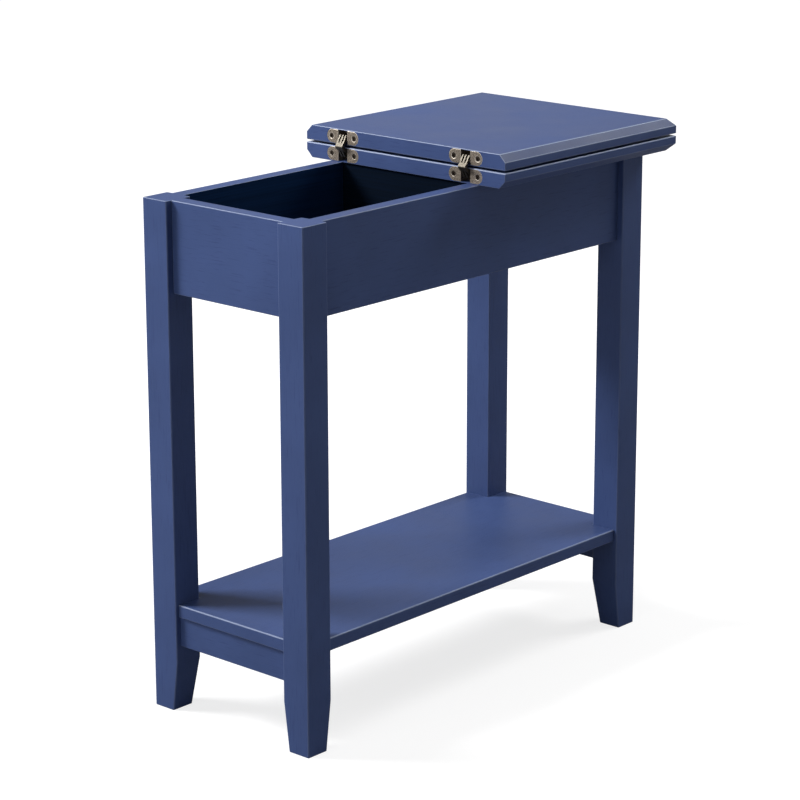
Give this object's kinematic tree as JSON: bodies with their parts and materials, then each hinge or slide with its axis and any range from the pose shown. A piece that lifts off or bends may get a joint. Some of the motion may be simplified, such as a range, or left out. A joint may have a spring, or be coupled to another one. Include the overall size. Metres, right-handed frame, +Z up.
{
  "type": "flip-top end table",
  "caption": "Narrow end table with a fold-over top leaf on concealed hinges, a storage compartment under it, tapered square legs and a low shelf.",
  "frame": {"origin": "on the floor, under the middle of the table's bounding box with the flip leaf folded back", "axes": "+X from the open storage end to the fixed end, +Z up"},
  "size_m": [0.606, 0.302, 0.6305],
  "materials": {
    "painted_wood": "satin navy paint over open-grained wood",
    "painted_panel": "matt navy paint on a thin panel",
    "hidden_wood": "bare sawn wood",
    "hinge_zinc": "antique-plated cast zinc",
    "hinge_steel": "bright plated pressed steel"
  },
  "bodies": {
    "frame": {"leg_storage_right": "painted_wood", "leg_fixed_right": "painted_wood", "leg_fixed_left": "painted_wood", "leg_storage_left": "painted_wood", "apron_right": "painted_wood", "apron_left": "painted_wood", "apron_storage_end": "painted_wood", "apron_fixed_end": "painted_wood", "compartment_divider": "painted_wood", "compartment_floor": "painted_panel", "floor_cleat_right": "hidden_wood", "floor_cleat_left": "hidden_wood", "floor_cleat_end": "hidden_wood", "floor_cleat_divider": "hidden_wood", "fixing_cleat_right": "hidden_wood", "fixing_cleat_left": "hidden_wood", "corner_block_right": "hidden_wood", "corner_block_left": "hidden_wood", "shelf": "painted_wood", "shelf_rail_storage_end": "painted_wood", "shelf_rail_fixed_end": "painted_wood", "fixed_leaf": "painted_wood", "hinge_cup_fixed_right": "hinge_zinc", "hinge_cup_fixed_left": "hinge_zinc", "hinge_pin_right": "hinge_steel", "hinge_pin_left": "hinge_steel"},
    "flip_top": {"flip_leaf": "painted_wood", "hinge_cup_flip_right": "hinge_zinc", "hinge_cup_flip_left": "hinge_zinc"},
    "lower_links_right": {"hinge_links_lower_right": "hinge_steel"},
    "lower_links_left": {"hinge_links_lower_left": "hinge_steel"},
    "upper_links_right": {"hinge_links_upper_right": "hinge_steel"},
    "upper_links_left": {"hinge_links_upper_left": "hinge_steel"}
  },
  "joints": [
    {"name": "leaf_fold", "type": "hinge", "parent": "frame", "child": "flip_top", "pos_m": [-0.0125, 0, 0.61125], "axis": [0, -1, 0], "range_deg": [0, 180]},
    {"name": "lower_links_right_swing", "type": "hinge", "parent": "frame", "child": "lower_links_right", "pos_m": [-0.01025, -0.0935, 0.60515], "axis": [0, -1, 0], "range_deg": [0, 121]},
    {"name": "upper_links_right_swing", "type": "hinge", "parent": "lower_links_right", "child": "upper_links_right", "pos_m": [-0.01735, -0.0935, 0.61125], "axis": [0, -1, 0], "range_deg": [-40, 0]},
    {"name": "lower_links_left_swing", "type": "hinge", "parent": "frame", "child": "lower_links_left", "pos_m": [-0.01025, 0.0935, 0.60515], "axis": [0, -1, 0], "range_deg": [0, 121]},
    {"name": "upper_links_left_swing", "type": "hinge", "parent": "lower_links_left", "child": "upper_links_left", "pos_m": [-0.01735, 0.0935, 0.61125], "axis": [0, -1, 0], "range_deg": [-40, 0]}
  ],
  "couplings": [
    {"joint": "lower_links_right_swing", "follows": "leaf_fold", "ratio": 0.67},
    {"joint": "upper_links_right_swing", "follows": "leaf_fold", "ratio": -0.22},
    {"joint": "lower_links_left_swing", "follows": "leaf_fold", "ratio": 0.67},
    {"joint": "upper_links_left_swing", "follows": "leaf_fold", "ratio": -0.22}
  ]
}
